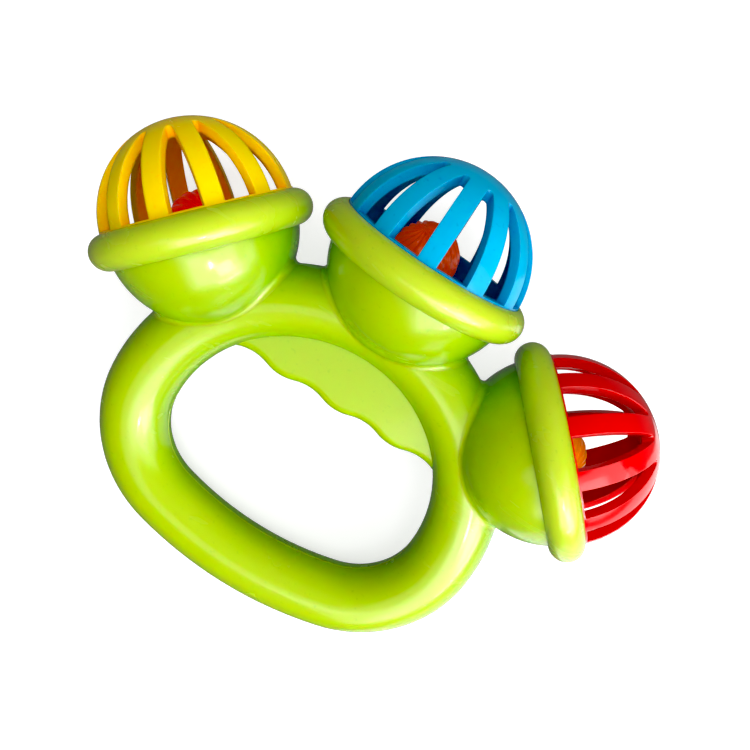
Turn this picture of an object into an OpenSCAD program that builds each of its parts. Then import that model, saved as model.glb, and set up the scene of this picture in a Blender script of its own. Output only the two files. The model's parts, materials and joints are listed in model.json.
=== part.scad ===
// Baby rattle: an oval hand ring with a wavy finger web and three cups on its arch.
// A ribbed cage is held in the mouth of each cup, and a loose ball rattles in each cage.
// The toy is drawn flat, with its arch centre at the origin, and is then laid on its back.

/* [Grip ring] */
// Outside radius of the grip tube
tube_r = 9; // [8:0.25:9.5]
// Wall of the two grip shells
shell_wall = 2.2; // [1.8:0.1:2.6]
// Centreline radius of the arch that carries the cups
arch_r = 45.2; // [44:0.2:47]
// Distance between the centres of the shallow bar's arc and of each tighter end's arc
bar_step = 64; // [60:1:68]
// Depth of the parting groove round the ring
seam_groove = 0.25; // [0.1:0.05:0.4]

/* [Finger web] */
// Thickness of the web, both shells together, with a fully rounded edge
web_t = 5; // [4:0.2:6]
// Mean height of the wavy edge above the arch centre
web_edge_y = 21.35; // [20:0.05:23]
// Radius of the arcs of the finger bays and of the crests between them
finger_r = 11.625; // [11:0.125:12.5]

/* [Cups] */
// Outside radius of the cups
cup_r = 23.2; // [22.8:0.1:23.4]
// Wall of the cups
cup_wall = 2; // [1.6:0.1:2.2]
// Height of the top cup's mouth above the arch centre
top_cup_y = 62.8; // [62:0.2:64]
// Sideways place of the side cups' mouths
side_cup_x = 50.2; // [49.6:0.1:51]
// Height of the side cups' mouths above the arch centre
side_cup_y = 41.8; // [41:0.1:42.4]
// Lean of the side cups away from the top one
side_cup_lean = 45.5; // [44:0.5:47]

/* [Rims] */
// Centreline radius of the rounded rims
rim_r = 22.8; // [22.6:0.1:23]
// Radius of the rims' round edge
rim_edge_r = 4.4; // [4.2:0.1:4.6]

/* [Cages] */
// Outside radius of the cages
cage_r = 23.5; // [23.3:0.1:23.7]
// Wall of the cages
cage_wall = 2.3; // [2:0.1:3]
// Height of the dome's centre above the mouth
cage_lift = 2.5; // [2.2:0.1:3]
// Number of ribs
rib_count = 12; // [10:1:14]
// Width of each rib
rib_w = 4.5; // [4:0.1:5.4]
// Height of the foot of the gaps above the mouth
gap_foot = 4.7; // [4.6:0.1:6]
// Radius of the gaps' rounded tips
gap_tip_r = 0.8; // [0.5:0.1:1.2]
// Turn of each cage in its cup: left, top, right
cage_turn = [0, -2.5, -3]; // [-15:0.5:15]

/* [Balls] */
// Outside radius of the rattle balls
ball_r = 8.7; // [8:0.1:8.8]
// Wall of the balls' halves
ball_wall = 1.6; // [1.2:0.1:2]
// Where each ball lies round its cage, from straight behind the cup's axis: left, top, right
ball_lean = [-20, -8.5, 28]; // [-40:1:40]
// Turn of each ball's poles about X, Y and Z: left, top, right
ball_turn = [[50, 20, 0], [35, -25, 0], [20, 60, 0]];

/* [Hidden] */
$fn = 96;

green = [0.74, 0.86, 0.05];
yellow = [0.95, 0.86, 0.02];
blue = [0.02, 0.64, 0.85];
red = [0.86, 0.02, 0.03];
cage_colors = [yellow, blue, red];
ball_colors = [[0.86, 0.12, 0.02], [0.82, 0.22, 0.04], [1, 0.52, 0.02]];

// Play left between pieces that are pushed together, and between a ball and its cage
fit = 0.05;
ball_play = 0.3;
// Larger than any cut has to be
far = 60;

// The ring's centreline: one arch, two tighter ends and a shallow bar, each tangent to the next
// The ends meet the bar along a 7-24-25 triangle's slope, so that the arcs join without a gap
joint_dir = [0.28, -0.96];
end_x = joint_dir[0] * bar_step;
end_r = arch_r - end_x;
bar_y = -joint_dir[1] * bar_step;
bar_r = end_r + bar_step;
bar_low_y = bar_y - bar_r;
tube_bore_r = tube_r - shell_wall;
// The finger edge's arcs meet along a 44-117-125 triangle's slope, and the outer bays run out along 3-4-5
finger_dir = [0.352, 0.936];
outer_dir = [0.6, 0.8];
finger_pitch = 4 * finger_dir[0] * finger_r;
web_top_y = web_edge_y + finger_dir[1] * finger_r;

// Locating pins and sockets that join the two shells
boss_r = 2.4;
pin_r = 1.2;
pin_length = 3;
boss_places = [arch_point(27), arch_point(-27), arch_point(77), arch_point(-77),
               end_point(1, 38), end_point(-1, 38), [0, bar_low_y]];

// Cups: left, top, right
cup_places = [[-side_cup_x, side_cup_y], [0, top_cup_y], [side_cup_x, side_cup_y]];
cup_leans = [-side_cup_lean, 0, side_cup_lean];
// The plugs run on inside the tube past the cup's wall, and the shells clamp them
plug_r = tube_bore_r - fit;
plug_reach = 5;

// Joint between cup, rim and cage, as heights above the mouth and radii
seat_z = -1.2;
flange_t = 2.2;
flange_r = 25.2;
ledge_z = -0.2;
snap_z = -2.7;
snap_r = 0.5;
skirt_r = cup_r - cup_wall - 0.3;
skirt_wall = 1.6;
skirt_bore_r = skirt_r - skirt_wall;
skirt_foot_z = -9.4;
floor_t = 1.6;
floor_r = 17.8;
floor_top_z = skirt_foot_z + floor_t;

// Gap between two ribs: a wedge whose sides run along the ribs
gap_half_angle = 180 / rib_count;
gap_apex = rib_w / 2 / sin(gap_half_angle);
gap_tip_x = gap_apex + gap_tip_r / sin(gap_half_angle);

// Where a ball's centre rests: just over the cage's floor and just clear of the ledge round it
ball_z = floor_top_z + ball_r + ball_play;
ball_out = skirt_bore_r - sqrt(pow(ball_r + ball_play, 2) - pow(ball_z - ledge_z, 2));

// On its back the toy rests on the bar and on the two side rims
rest_span = side_cup_y - bar_low_y;
rim_drop = tube_r - rim_edge_r;
rim_lean = cos(side_cup_lean);
rest_a = pow(rest_span, 2) + pow(rim_r * rim_lean, 2);
rest_b = 2 * rest_span * rim_drop;
rest_c = pow(rim_drop, 2) - pow(rim_r, 2);
rest_tilt = asin((sqrt(pow(rest_b, 2) - 4 * rest_a * rest_c) - rest_b) / (2 * rest_a));
rest_lift = tube_r - bar_low_y * sin(rest_tilt);
rest_back_y = (top_cup_y + cage_lift) * cos(rest_tilt) + cage_r;
rest_front_y = bar_low_y * cos(rest_tilt) - tube_r;
rest_mid_y = (rest_back_y + rest_front_y) / 2;

// Point of the arch's centreline at an angle from the top, clockwise
function arch_point(a) = [arch_r * sin(a), arch_r * cos(a)];

// Point of an end's centreline at an angle below the horizontal
function end_point(side, a) = [side * (end_x + end_r * cos(a)), -end_r * sin(a)];

// Angle that a cup covers on the arch, to each side of the cup's own place
function cup_spread(i) =
    let (d = norm(cup_places[i]))
    acos((pow(arch_r, 2) + pow(d, 2) - pow(cup_r, 2)) / (2 * arch_r * d));

// Angle of a cup's place on the arch, counter-clockwise from +X
function cup_bearing(i) = atan2(cup_places[i][1], cup_places[i][0]);

module lay_down() {
    translate([0, -rest_mid_y, rest_lift]) rotate([rest_tilt, 0, 0]) children();
}

// Puts +Z on the cup's axis, with z = 0 at its mouth and +X facing the toy's front
module at_cup(i) {
    translate([cup_places[i][0], cup_places[i][1], 0]) rotate([0, 0, -cup_leans[i]]) rotate([-90, -90, 0])
        children();
}

module below(z) {
    translate([-far, z - 2 * far]) square([2 * far, 2 * far]);
}

module above(z) {
    translate([-far, z]) square([2 * far, 2 * far]);
}

module right_half() {
    translate([0, -far]) square([far, 2 * far]);
}

module left_half() {
    translate([-2 * far, -far]) square([2 * far, 2 * far]);
}

// Half of the tube's wall, with a groove along the parting line
module half_tube_profile() {
    difference() {
        circle(r = tube_r);
        circle(r = tube_bore_r);
        below(0);
        for (side = [-1, 1])
            translate([side * tube_r, 0]) rotate(45) square(seam_groove * sqrt(2), center = true);
    }
}

// The part of a full turn of the half tube that lies in a wedge from the turn's centre
module half_tube_arc(center, radius, wedge) {
    translate([center[0], center[1], 0]) intersection() {
        rotate_extrude() translate([radius, 0]) half_tube_profile();
        translate([0, 0, -1]) linear_extrude(height = tube_r + 2) polygon(concat([[0, 0]], wedge));
    }
}

module half_ring() {
    joint = 2 * far * joint_dir;
    rotate_extrude(angle = 180) translate([arch_r, 0]) half_tube_profile();
    for (side = [-1, 1])
        half_tube_arc([side * end_x, 0], end_r,
                      [[side * joint[0], joint[1]], [side * 2 * far, joint[1]], [side * 2 * far, 0]]);
    half_tube_arc([0, bar_y], bar_r, [[-joint[0], joint[1]], joint]);
}

// A full turn of the web's section, rounded at its edge, cut to a wedge from the turn's centre
module web_arc(center, edge_side, wedge) {
    half_t = web_t / 2;
    translate([center[0], center[1], 0]) intersection() {
        rotate_extrude() intersection() {
            union() {
                translate([finger_r - edge_side * half_t, 0]) circle(r = half_t);
                translate([edge_side > 0 ? 0 : finger_r + half_t, 0])
                    square([edge_side > 0 ? finger_r - half_t : far, half_t]);
            }
            above(0);
            right_half();
        }
        translate([0, 0, -1]) linear_extrude(height = web_t) polygon(concat([[0, 0]], wedge));
    }
}

// Web between the arch and the finger edge, whose crests and bays are arcs tangent to each other
module half_web() {
    drop = 2 * finger_r * finger_dir;
    bay_y = web_top_y - drop[1];
    outer_x = outer_dir[0] / outer_dir[1] * drop[1];
    intersection() {
        cylinder(r = arch_r - tube_r + shell_wall / 2, h = web_t);
        union() {
            translate([-far, web_top_y, 0]) cube([2 * far, far, web_t / 2]);
            for (k = [-1 : 1])
                web_arc([k * finger_pitch, web_top_y], 1, [[-drop[0], -drop[1]], [drop[0], -drop[1]]]);
            for (side = [-1, 1]) {
                web_arc([side * finger_pitch / 2, bay_y], -1, [[drop[0], drop[1]], [-drop[0], drop[1]]]);
                web_arc([side * finger_pitch * 1.5, bay_y], -1,
                        [[side * outer_x, drop[1]], [-side * drop[0], drop[1]]]);
            }
        }
    }
}

// The half with z >= 0; the back shell is its mirror image with sockets in place of pins
module handle_half(with_pins) {
    difference() {
        union() {
            half_ring();
            half_web();
            for (p = boss_places)
                translate([p[0], p[1], 0]) cylinder(r = boss_r, h = tube_bore_r + 0.6);
            if (with_pins)
                for (p = boss_places)
                    translate([p[0], p[1], -pin_length]) cylinder(r = pin_r, h = pin_length + 1);
        }
        for (i = [0 : 2])
            at_cup(i) sphere(r = cup_r + fit);
        if (!with_pins)
            for (p = boss_places)
                translate([p[0], p[1], -1]) cylinder(r = pin_r + fit, h = pin_length + 1.3);
    }
}

module handle_front_shell() {
    color(green) lay_down() handle_half(true);
}

module handle_back_shell() {
    color(green) lay_down() mirror([0, 0, 1]) handle_half(false);
}

// Hollow bowl with a snap bead under its lip, and a curved plug that fills the tube on both sides
module cup(i) {
    reach = cup_spread(i) + plug_reach;
    color(green) lay_down() difference() {
        union() {
            at_cup(i) rotate_extrude() intersection() {
                union() {
                    circle(r = cup_r);
                    translate([sqrt(pow(cup_r, 2) - pow(snap_z, 2)), snap_z]) circle(r = snap_r);
                }
                below(seat_z);
                right_half();
            }
            rotate([0, 0, cup_bearing(i) - reach]) rotate_extrude(angle = 2 * reach)
                translate([arch_r, 0]) circle(r = plug_r);
        }
        at_cup(i) sphere(r = cup_r - cup_wall);
    }
}

module left_cup() {
    cup(0);
}

module top_cup() {
    cup(1);
}

module right_cup() {
    cup(2);
}

// Rounded ring round the cup's mouth, which snaps over the cup and traps the cage's flange
module rim(i) {
    color(green) lay_down() at_cup(i) rotate_extrude() difference() {
        translate([rim_r, 0]) circle(r = rim_edge_r);
        intersection() {
            circle(r = cup_r + fit);
            below(seat_z);
        }
        translate([sqrt(pow(cup_r, 2) - pow(snap_z, 2)), snap_z]) circle(r = snap_r + fit);
        translate([0, seat_z]) square([flange_r + 3 * fit, flange_t]);
        intersection() {
            translate([0, -far]) square([cage_r + 2 * fit, 2 * far]);
            above(seat_z);
        }
    }
}

module left_rim() {
    rim(0);
}

module top_rim() {
    rim(1);
}

module right_rim() {
    rim(2);
}

// Dome wall, the flange under the rim and a skirt that follows the inside of the cup
module cage_section() {
    difference() {
        union() {
            intersection() {
                translate([0, cage_lift]) circle(r = cage_r);
                above(seat_z);
            }
            translate([0, seat_z]) square([flange_r, flange_t]);
            intersection() {
                circle(r = skirt_r);
                below(0);
                above(skirt_foot_z);
            }
        }
        circle(r = skirt_bore_r);
        intersection() {
            translate([0, cage_lift]) circle(r = cage_r - cage_wall);
            above(ledge_z);
        }
        translate([0, floor_top_z - far]) square([floor_r + fit, far]);
        left_half();
    }
}

// Wedge between two ribs, with a round tip set just inside its blunt end
module rib_gap() {
    blunt_y = (gap_tip_x - gap_apex) * tan(gap_half_angle);
    mouth_y = (far - gap_apex) * tan(gap_half_angle);
    translate([gap_tip_x, 0]) circle(r = gap_tip_r);
    polygon([[gap_tip_x, -blunt_y], [far, -mouth_y], [far, mouth_y], [gap_tip_x, blunt_y]]);
}

module cage(i) {
    color(cage_colors[i]) lay_down() at_cup(i) rotate([0, 0, cage_turn[i]]) difference() {
        rotate_extrude() cage_section();
        for (k = [0 : rib_count - 1])
            rotate([0, 0, (k + 0.5) * 360 / rib_count]) translate([0, 0, gap_foot])
                linear_extrude(height = far) rib_gap();
    }
}

module left_cage() {
    cage(0);
}

module top_cage() {
    cage(1);
}

module right_cage() {
    cage(2);
}

// Disc pushed into the skirt's foot, which keeps the ball up in the cage
module cage_floor(i) {
    color(cage_colors[i]) lay_down() at_cup(i) translate([0, 0, skirt_foot_z]) difference() {
        cylinder(r = floor_r, h = floor_t);
        translate([0, 0, -1]) cylinder(r = floor_r / 2, h = 1 + floor_t / 3);
    }
}

module left_cage_floor() {
    cage_floor(0);
}

module top_cage_floor() {
    cage_floor(1);
}

module right_cage_floor() {
    cage_floor(2);
}

// Ball's own place: lying at the back of its cage, with its poles turned
module at_ball(i) {
    at_cup(i) rotate([0, 0, 180 - ball_lean[i]]) translate([ball_out, 0, ball_z]) rotate(ball_turn[i])
        children();
}

// Half of a hollow ball; the upper half's lip sits in the lower half's step
module ball_half(i, upper) {
    lip_r = ball_r - ball_wall / 2;
    lip_z = -ball_wall / 2;
    color(ball_colors[i]) lay_down() at_ball(i) rotate_extrude() intersection() {
        right_half();
        difference() {
            if (upper)
                union() {
                    intersection() {
                        circle(r = ball_r);
                        above(0);
                    }
                    translate([0, lip_z]) square([lip_r, -lip_z]);
                }
            else
                difference() {
                    intersection() {
                        circle(r = ball_r);
                        below(0);
                    }
                    translate([0, lip_z - fit]) square([lip_r + fit, fit - lip_z]);
                }
            circle(r = ball_r - ball_wall);
        }
    }
}

module left_ball_upper_half() {
    ball_half(0, true);
}

module top_ball_upper_half() {
    ball_half(1, true);
}

module right_ball_upper_half() {
    ball_half(2, true);
}

module left_ball_lower_half() {
    ball_half(0, false);
}

module top_ball_lower_half() {
    ball_half(1, false);
}

module right_ball_lower_half() {
    ball_half(2, false);
}

handle_front_shell();
handle_back_shell();
left_cup();
top_cup();
right_cup();
left_rim();
top_rim();
right_rim();
left_cage();
top_cage();
right_cage();
left_cage_floor();
top_cage_floor();
right_cage_floor();
left_ball_upper_half();
top_ball_upper_half();
right_ball_upper_half();
left_ball_lower_half();
top_ball_lower_half();
right_ball_lower_half();
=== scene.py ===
"""Looks of the baby rattle: camera, light, plastics, the ridged balls and the fillets where the cups meet the ring."""

import json
import math

import bpy
from mathutils import Matrix, Vector


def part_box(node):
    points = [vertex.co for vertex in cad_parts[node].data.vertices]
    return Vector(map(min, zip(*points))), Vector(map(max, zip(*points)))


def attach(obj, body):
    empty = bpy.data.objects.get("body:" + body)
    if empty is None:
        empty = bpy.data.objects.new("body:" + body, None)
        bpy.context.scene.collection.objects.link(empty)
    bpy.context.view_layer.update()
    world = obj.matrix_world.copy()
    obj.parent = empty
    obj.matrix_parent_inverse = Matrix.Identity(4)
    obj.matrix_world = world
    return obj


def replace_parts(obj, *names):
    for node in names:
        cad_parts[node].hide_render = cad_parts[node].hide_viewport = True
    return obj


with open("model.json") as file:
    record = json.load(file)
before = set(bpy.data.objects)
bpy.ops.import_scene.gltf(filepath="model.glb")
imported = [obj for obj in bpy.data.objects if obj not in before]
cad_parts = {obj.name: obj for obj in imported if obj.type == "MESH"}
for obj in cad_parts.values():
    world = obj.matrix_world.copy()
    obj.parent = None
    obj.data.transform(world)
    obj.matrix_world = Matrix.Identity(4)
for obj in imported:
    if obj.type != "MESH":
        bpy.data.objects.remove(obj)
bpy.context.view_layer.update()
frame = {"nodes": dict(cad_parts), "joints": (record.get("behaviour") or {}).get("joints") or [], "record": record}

SIDES = ("left", "top", "right")
HALVES = ("upper", "lower")
ROOT = "rattle"

# ---------------------------------------------------------------- sizes, in metres
ARCH_R = 0.0452          # centreline radius of the ring's arch
TUBE_R = 0.009
BAR_TO_ARCH = 0.02984    # from the grip bar's centre to the arch's centre
CUP_R = 0.0232
FILLET_R = 0.0015
FILLET_LAP = 0.0003      # how far a fillet's edges reach into the cup and the tube
BALL_WALL = 0.0016
BALL_INSET = 0.00002     # keeps the ridged balls inside the CAD balls
RIDGES = 18
RIDGE_DEPTH = 0.00055
RIDGE_SWIRL = 0.75       # turn of a ridge from the pole to the joint, in radians
RIDGE_START = 0.1
JOINT_GROOVE = 0.00018   # depth of the line where the ball's halves meet
BALL_POLES = {"left": (0.35, 0.5, 0.79), "top": (-0.39, 0.594, 0.702), "right": (0.55, -0.2, 0.81)}

# The toy's own frame: X across, Y towards the top cup, Z out of its front
toy_z = Vector(frame["joints"][0]["axis"]).normalized()
toy_x = Vector((1, 0, 0))
toy_y = toy_z.cross(toy_x)
grip = Vector(frame["record"]["mounts"][0]["pos_m"])
arch_centre = grip + toy_y * BAR_TO_ARCH
TOY = Matrix((toy_x, toy_y, toy_z)).transposed()


def box_round(*nodes):
    """The corners of the box round several CAD nodes."""
    boxes = [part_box(n) for n in nodes]
    low = Vector(min(b[0][k] for b in boxes) for k in range(3))
    high = Vector(max(b[1][k] for b in boxes) for k in range(3))
    return low, high


def add(obj):
    """Put an object into the scene."""
    bpy.context.scene.collection.objects.link(obj)
    return obj


# ---------------------------------------------------------------- camera
CAMERA_PLACE = (-0.00462, 0.01836, 0.2079)
CAMERA_AHEAD = (0.0467, -0.0538, -0.9975)
CAMERA_UP = (-0.5379, 0.84, -0.0704)


def look(place, ahead, up):
    """A matrix from the place, the way to look, and the way that is up in the picture."""
    back = -Vector(ahead).normalized()
    right = Vector(up).cross(back).normalized()
    upward = back.cross(right)
    turn = Matrix((right, upward, back)).transposed()
    return Matrix.Translation(place) @ turn.to_4x4()


camera_data = bpy.data.cameras.new("camera")
camera_data.sensor_width = 36
camera_data.lens = 35.46
camera_data.clip_start = 0.01
camera_data.clip_end = 20
camera = add(bpy.data.objects.new("camera", camera_data))
camera.matrix_world = look(CAMERA_PLACE, CAMERA_AHEAD, CAMERA_UP)
bpy.context.scene.camera = camera

# ---------------------------------------------------------------- light
BLACK_LEVEL = 0.015
AIR_LIGHT = 0.16
LIGHT_AIM = Vector((0.0, 0.0, 0.02))
LIGHT_UP = (0, 0.1, 1)

# Name, place, width and height, watts, and what it doesn't light: the plastic's body or its gloss
LIGHTS = (
    ("softbox", (0.38, -0.27, 0.36), (0.60, 0.40), 2.7, None),
    ("side_panel", (0.55, -0.06, 0.15), (0.50, 0.22), 0.55, None),
    ("front_panel", (0.04, -0.45, 0.68), (0.60, 0.30), 0.8, None),
    ("key", (0.42, -0.20, 0.30), (0.18, 0.14), 0.7, None),
    ("window", (0.26, -0.22, 0.34), (0.035, 0.05), 0.3, None),
    ("strip", (0.50, -0.26, 0.17), (0.30, 0.012), 0.4, None),
    ("overhead", (0.02, 0.04, 0.70), (0.45, 0.45), 2.3, "gloss"),
    ("top_panel", (0.16, 0.52, 0.42), (0.60, 0.34), 1.9, "gloss"),
    ("sheen", (0.46, -0.24, 0.40), (1.1, 0.66), 4.8, "body"),
    ("low_sheen", (0.47, -0.14, -0.26), (0.9, 0.5), 1.6, "body"),
)

view = bpy.context.scene.view_settings
view.view_transform = "Standard"
view.use_curve_mapping = True
view.curve_mapping.black_level = (BLACK_LEVEL,) * 3
view.curve_mapping.update()

world = bpy.data.worlds.new("studio")
bpy.context.scene.world = world
world.use_nodes = True
air = world.node_tree.nodes["Background"]
air.inputs["Color"].default_value = (1, 1, 1, 1)
air.inputs["Strength"].default_value = AIR_LIGHT

for name, place, size, watts, skips in LIGHTS:
    lamp_data = bpy.data.lights.new(name, "AREA")
    lamp_data.shape = "RECTANGLE"
    lamp_data.size, lamp_data.size_y = size
    lamp_data.energy = watts
    lamp = add(bpy.data.objects.new(name, lamp_data))
    lamp.matrix_world = look(place, LIGHT_AIM - Vector(place), LIGHT_UP)
    lamp.visible_glossy = skips != "gloss"
    lamp.visible_diffuse = skips != "body"

# ---------------------------------------------------------------- materials
# A darker green for flow marks and specks, and for painted shade
SPECK_AND_SHADE_GREEN = (0.10, 0.34, 0.0)
GREEN_GLOW = (0.25, 1.0, 0.05)
BALL_GLOW = (1.0, 0.2, 0.05)
# Painted light: the balls glow faintly in their own colour, standing in for light let through the cages
BALL_PAINTED_GLOW = 0.2
# Painted shade: the colour deepens where another surface lies within this reach
SHADE_REACH = 0.02    # how far off a neighbouring wall still deepens the colour, in metres
BEVEL_SAMPLES = 6
SHADE_SAMPLES = 4


def plastic(name, base, speck_and_shade, glow, depth, gloss=1.0, roughness=0.22, round_edge=0.0003, crevice_shade=0.85, flank_shade=0.0,
            emission=0.0):
    """Moulded plastic: faint flow marks in its colour, fine scratches, orange peel and softened, slightly worn edges.

    deep, a darker colour, serves the flow marks and specks and the painted shade; glow and depth are its subsurface
    radius and scale.
    The two shade amounts say how far painted shade deepens the colour in recesses and on surfaces that face sideways,
    and emission is a painted glow.
    """
    m = bpy.data.materials.new(name)
    m.use_nodes = True
    nodes, links = m.node_tree.nodes, m.node_tree.links
    shader = nodes["Principled BSDF"]
    coords = nodes.new("ShaderNodeTexCoord")

    def noise(scale, detail, stretch=None):
        tex = nodes.new("ShaderNodeTexNoise")
        tex.inputs["Scale"].default_value = scale
        tex.inputs["Detail"].default_value = detail
        source = coords.outputs["Object"]
        if stretch:
            mapping = nodes.new("ShaderNodeMapping")
            mapping.inputs["Scale"].default_value = stretch
            mapping.inputs["Rotation"].default_value = (0.3, 0.5, 0.8)
            links.new(source, mapping.inputs["Vector"])
            source = mapping.outputs["Vector"]
        links.new(source, tex.inputs["Vector"])
        return tex.outputs["Fac"]

    def remap(value, low, high, to_low, to_high):
        node = nodes.new("ShaderNodeMapRange")
        node.inputs["From Min"].default_value = low
        node.inputs["From Max"].default_value = high
        node.inputs["To Min"].default_value = to_low
        node.inputs["To Max"].default_value = to_high
        links.new(value, node.inputs["Value"])
        return node.outputs["Result"]

    def mix(factor, a, b):
        node = nodes.new("ShaderNodeMix")
        node.data_type = "RGBA"
        for socket, value in ((node.inputs[0], factor), (node.inputs[6], a), (node.inputs[7], b)):
            if isinstance(value, bpy.types.NodeSocket):
                links.new(value, socket)
            else:
                socket.default_value = (*value, 1)
        return node.outputs[2]

    def calculate(operation, a, b):
        node = nodes.new("ShaderNodeMath")
        node.operation = operation
        links.new(a, node.inputs[0])
        if isinstance(b, bpy.types.NodeSocket):
            links.new(b, node.inputs[1])
        else:
            node.inputs[1].default_value = b
        return node.outputs["Value"]

    def bump(height, normal, strength, distance, inward=False):
        node = nodes.new("ShaderNodeBump")
        node.inputs["Strength"].default_value = strength
        node.inputs["Distance"].default_value = distance
        node.invert = inward
        links.new(height, node.inputs["Height"])
        links.new(normal, node.inputs["Normal"])
        return node.outputs["Normal"]

    # Edges: where a rounded normal turns away from the true one
    rounded = nodes.new("ShaderNodeBevel")
    rounded.samples = BEVEL_SAMPLES
    rounded.inputs["Radius"].default_value = round_edge
    true_normal = nodes.new("ShaderNodeNewGeometry").outputs["Normal"]
    agreement = nodes.new("ShaderNodeVectorMath")
    agreement.operation = "DOT_PRODUCT"
    links.new(rounded.outputs["Normal"], agreement.inputs[0])
    links.new(true_normal, agreement.inputs[1])
    edge = remap(agreement.outputs["Value"], 1.0, 0.8, 0.0, 1.0)

    # Colour: slow flow variation, a trace of regrind specks, and edges worn a little lighter
    flow = remap(noise(38, 3), 0.3, 0.7, 0.0, 1.0)
    specks = remap(noise(900, 1), 0.66, 0.8, 0.0, 0.25)
    worn = tuple(min(1.0, c * 0.9 + 0.09) for c in base)
    colour = mix(flow, base, tuple(0.93 * b + 0.07 * d for b, d in zip(base, speck_and_shade)))
    colour = mix(specks, colour, speck_and_shade)
    colour = mix(calculate("MULTIPLY", edge, 0.35), colour, worn)

    # Painted shade: the colour deepens in recesses and near other surfaces, and on surfaces of the tubes and bowls
    # that face sideways as the toy lies
    shade_ao = nodes.new("ShaderNodeAmbientOcclusion")
    shade_ao.samples = SHADE_SAMPLES
    shade_ao.inputs["Distance"].default_value = SHADE_REACH
    colour = mix(remap(shade_ao.outputs["AO"], 0.85, 0.3, 0.0, crevice_shade), colour, speck_and_shade)
    # Painted shade on surfaces that face sideways, by the world direction of their normal
    if flank_shade:
        parts = nodes.new("ShaderNodeSeparateXYZ")
        links.new(true_normal, parts.inputs["Vector"])
        colour = mix(remap(parts.outputs["Z"], 0.85, 0.1, 0.0, flank_shade), colour, speck_and_shade)
    links.new(colour, shader.inputs["Base Color"])
    shader.inputs["Base Color"].default_value = (*base, 1)

    # Roughness: handling smears and hairline scratches
    smear = remap(noise(60, 4), 0.35, 0.75, roughness * 0.85, roughness * 1.35)
    hair = remap(noise(260, 2, (0.04, 1.0, 1.0)), 0.62, 0.72, 0.0, 0.08)
    links.new(calculate("ADD", smear, hair), shader.inputs["Roughness"])

    # Bump: orange peel of the mould and the scratches
    peel = bump(noise(210, 2), rounded.outputs["Normal"], 0.10, 0.0003)
    scratched = bump(hair, peel, 0.05, 0.0001, inward=True)
    links.new(scratched, shader.inputs["Normal"])

    shader.inputs["IOR"].default_value = 1.5
    shader.inputs["Specular IOR Level"].default_value = 0.4 * gloss
    shader.inputs["Coat Weight"].default_value = 0.4 * gloss
    shader.inputs["Coat Roughness"].default_value = 0.05
    shader.inputs["Coat IOR"].default_value = 1.4
    shader.inputs["Subsurface Weight"].default_value = 0.5
    shader.inputs["Subsurface Radius"].default_value = glow
    shader.inputs["Subsurface Scale"].default_value = depth
    # Painted light: the surface glows in its base colour, standing in for light let in around it
    if emission:
        shader.inputs["Emission Color"].default_value = (*base, 1)
        shader.inputs["Emission Strength"].default_value = emission
    return m


GREEN = plastic(
    "green_plastic", (0.385, 0.54, 0.002), SPECK_AND_SHADE_GREEN, GREEN_GLOW, 0.002,
    flank_shade=0.7)
# Painted light: the rims are the same green plastic made lighter, standing in for the extra light and milky sheen on
# them, with less painted shade
PAINTED_LIGHT_RIM_GREEN = plastic(
    "rim_painted_light_green_plastic", (0.47, 0.60, 0.02), SPECK_AND_SHADE_GREEN, GREEN_GLOW, 0.002,
    crevice_shade=0.2, flank_shade=0.35)
CAGES = {
    "left": plastic(
        "yellow_plastic", (0.86, 0.65, 0.0), (0.95, 0.30, 0.0), (1.0, 0.35, 0.05), 0.0008,
        gloss=0.4, roughness=0.2, round_edge=0.0008),
    "top": plastic(
        "blue_plastic", (0.0, 0.39, 0.64), (0.0, 0.06, 0.32), (0.05, 0.4, 1.0), 0.0006,
        gloss=0.3, roughness=0.14, round_edge=0.0005),
    "right": plastic(
        "red_plastic", (0.68, 0.0, 0.002), (0.45, 0.0, 0.0), (1.0, 0.1, 0.1), 0.0006,
        gloss=0.9, roughness=0.12),
}
BALLS = {
    "left": plastic(
        "left_ball_plastic", (0.98, 0.03, 0.0), (0.6, 0.0, 0.0), BALL_GLOW, 0.0003, emission=BALL_PAINTED_GLOW),
    "top": plastic(
        "top_ball_plastic", (0.95, 0.10, 0.003), (0.6, 0.02, 0.0), BALL_GLOW, 0.0003, emission=BALL_PAINTED_GLOW),
    "right": plastic(
        "right_ball_plastic", (1.0, 0.32, 0.0), (0.8, 0.12, 0.0), (1.0, 0.4, 0.05), 0.0003, emission=BALL_PAINTED_GLOW),
}


def paint(obj, material):
    obj.data.materials.clear()
    obj.data.materials.append(material)


for name, node in frame["nodes"].items():
    if "ball" in name:
        continue
    if "cage" in name:
        paint(node, CAGES[name.split("_")[0]])
    else:
        paint(node, PAINTED_LIGHT_RIM_GREEN if "rim" in name else GREEN)

# ---------------------------------------------------------------- pieces
SHARP_ANGLE = 0.6        # radians between two faces from which their edge stays sharp


def make(name, points, faces, material, body):
    """A piece of the toy, riding on a body."""
    mesh = bpy.data.meshes.new(name)
    mesh.from_pydata([tuple(p) for p in points], [], [tuple(f) for f in faces])
    mesh.validate()
    mesh.update()
    obj = add(bpy.data.objects.new(name, mesh))
    paint(obj, material)
    mesh.shade_smooth()
    mesh.set_sharp_from_angle(angle=SHARP_ANGLE)
    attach(obj, body)
    return obj


def grid_faces(rows, per_row, closed_rows):
    """Quads of a grid whose rows are closed rings of points."""
    faces = []
    for r in range(rows if closed_rows else rows - 1):
        for c in range(per_row):
            here = r * per_row
            following = ((r + 1) % rows) * per_row
            d = (c + 1) % per_row
            faces.append((here + c, here + d, following + d, following + c))
    return faces


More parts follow.
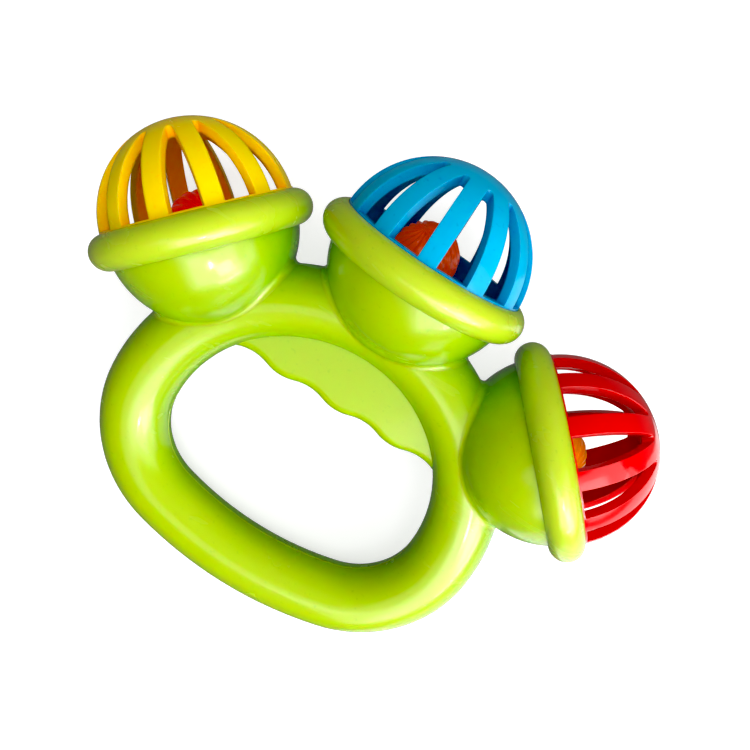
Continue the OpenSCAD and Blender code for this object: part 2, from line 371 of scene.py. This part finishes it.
def fillet(side, steps=120, arc_steps=9):
    """A concave fillet round the crease between a cup and the ring, by rolling a small ball along both."""
    rim_low, rim_high = box_round(side + "_rim")
    cup = TOY.transposed() @ ((rim_low + rim_high) / 2 - arch_centre)
    distance, bearing = cup.xy.length, math.atan2(cup.y, cup.x)
    to_tube, to_cup = TUBE_R + FILLET_R, CUP_R + FILLET_R

    def spread(minor):
        """Cosine of the angle along the arch at which the rolling ball touches tube and cup."""
        rho, z = ARCH_R + to_tube * math.cos(minor), to_tube * math.sin(minor)
        return (rho * rho + distance * distance + z * z - to_cup * to_cup) / (2 * rho * distance)

    # The crease's farthest point round the tube, by halving
    reach, beyond = 0.0, math.pi
    for _ in range(60):
        middle = (reach + beyond) / 2
        if spread(middle) < 1:
            reach = middle
        else:
            beyond = middle

    points = []
    for k in range(steps):
        t = 2 * math.pi * (k + 0.5) / steps
        minor = reach * math.cos(t)
        major = bearing + math.copysign(math.acos(min(1.0, spread(minor))), math.sin(t))
        along = Vector((math.cos(major), math.sin(major), 0))
        ring = along * ARCH_R
        ball = along * (ARCH_R + to_tube * math.cos(minor)) + Vector((0, 0, to_tube * math.sin(minor)))
        on_cup = (cup - ball).normalized()
        on_tube = (ring - ball).normalized()
        opening = on_cup.angle(on_tube)
        arc = [on_cup.slerp(on_tube, s / (arc_steps - 1)) * FILLET_R for s in range(arc_steps)]
        crease = (on_cup + on_tube).normalized() * (FILLET_R / math.cos(opening / 2) + 0.0004)
        ends = FILLET_R + FILLET_LAP
        section = [on_cup * ends] + arc + [on_tube * ends, crease]
        points += [arch_centre + TOY @ (ball + p) for p in section]
    faces = grid_faces(steps, len(section), True)
    return make(side + "_cup_fillet", points, faces, GREEN, ROOT)


def ball_half(side, half, around=RIDGES * 10, rings=40):
    """Half of a hollow ball, with swirling ridges outside that fade out at its pole and at its joint."""
    low, high = box_round(*(f"{side}_ball_{h}_half" for h in HALVES))
    centre, radius = (low + high) / 2, (high.x - low.x) / 2 - BALL_INSET
    inner = radius - BALL_WALL
    turn = Vector(BALL_POLES[side]).normalized().to_track_quat("Z", "Y").to_matrix()
    sign = 1 if half == "upper" else -1

    def outer(tilt, turned):
        fade = min(1.0, math.sin(tilt) / 0.22) * min(1.0, (math.pi / 2 - tilt) / 0.06)
        wave = 0.5 + 0.5 * math.cos(RIDGES * (turned + RIDGE_START + RIDGE_SWIRL * math.sin(tilt)))
        return radius - RIDGE_DEPTH * fade * (1 - wave**0.7)

    def point(tilt, turned, reach):
        across = math.sin(tilt)
        return Vector((across * math.cos(turned), across * math.sin(turned), sign * math.cos(tilt))) * reach

    turns = [2 * math.pi * c / around for c in range(around)]
    tilts = [math.pi / 2 * r / rings for r in range(1, rings + 1)]
    points = [point(tilt, turned, outer(tilt, turned)) for tilt in tilts[:-1] for turned in turns]
    points += [point(tilts[-1], turned, radius - JOINT_GROOVE) for turned in turns]
    points += [point(tilt, turned, inner) for tilt in reversed(tilts) for turned in turns]
    faces = grid_faces(2 * rings, around, False)

    # Close both shells at the pole
    outer_tip, inner_tip = len(points), len(points) + 1
    points += [Vector((0, 0, sign * radius)), Vector((0, 0, sign * inner))]
    last = (2 * rings - 1) * around
    for c in range(around):
        d = (c + 1) % around
        faces.append((outer_tip, d, c))
        faces.append((inner_tip, last + c, last + d))
    if half == "upper":
        faces = [tuple(reversed(f)) for f in faces]
    placed = [centre + turn @ p for p in points]
    obj = make(f"{side}_ball_{half}_shell", placed, faces, BALLS[side], side + "_ball")
    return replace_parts(obj, f"{side}_ball_{half}_half")


for side in SIDES:
    fillet(side)
    for half in HALVES:
        ball_half(side, half)

# ---------------------------------------------------------------- floor and backdrop
FLOOR_R = 1.3
FLOOR_Z = -0.0001
COVE_R = 0.6
COVE_STEPS = 12
WALL_TOP = 2.0
POINT_R = 0.00001        # the floor's middle, which stands in for a point


def stage_paint(name, glow):
    """A pale matt paint that gives off a little light of its own."""
    pale = bpy.data.materials.new(name)
    pale.use_nodes = True
    shader = pale.node_tree.nodes["Principled BSDF"]
    shader.inputs["Base Color"].default_value = (0.64, 0.64, 0.64, 1)
    shader.inputs["Roughness"].default_value = 0.8
    shader.inputs["Specular IOR Level"].default_value = 0.1
    shader.inputs["Emission Color"].default_value = (1, 1, 1, 1)
    shader.inputs["Emission Strength"].default_value = glow
    return pale


def stage(name, profile, glow, around=96):
    """A part of the set, turned round the Z axis. It shows itself and the toy's shadow, and doesn't light the toy."""
    turns = [2 * math.pi * c / around for c in range(around)]
    points = [(r * math.cos(t), r * math.sin(t), z) for r, z in profile for t in turns]
    mesh = bpy.data.meshes.new(name)
    mesh.from_pydata(points, [], grid_faces(len(profile), around, False))
    mesh.materials.append(stage_paint(name, glow))
    mesh.shade_smooth()
    obj = add(bpy.data.objects.new(name, mesh))
    obj.visible_diffuse = False
    obj.visible_glossy = False
    obj.visible_shadow = False


cove_turns = [math.pi / 2 * s / COVE_STEPS for s in range(COVE_STEPS + 1)]
cove = [(FLOOR_R + COVE_R * math.sin(t), FLOOR_Z + COVE_R * (1 - math.cos(t))) for t in cove_turns]
stage("floor", [(POINT_R, FLOOR_Z), (FLOOR_R, FLOOR_Z)], 0.6)
stage("backdrop", cove + [(FLOOR_R + COVE_R, WALL_TOP)], 0.85)
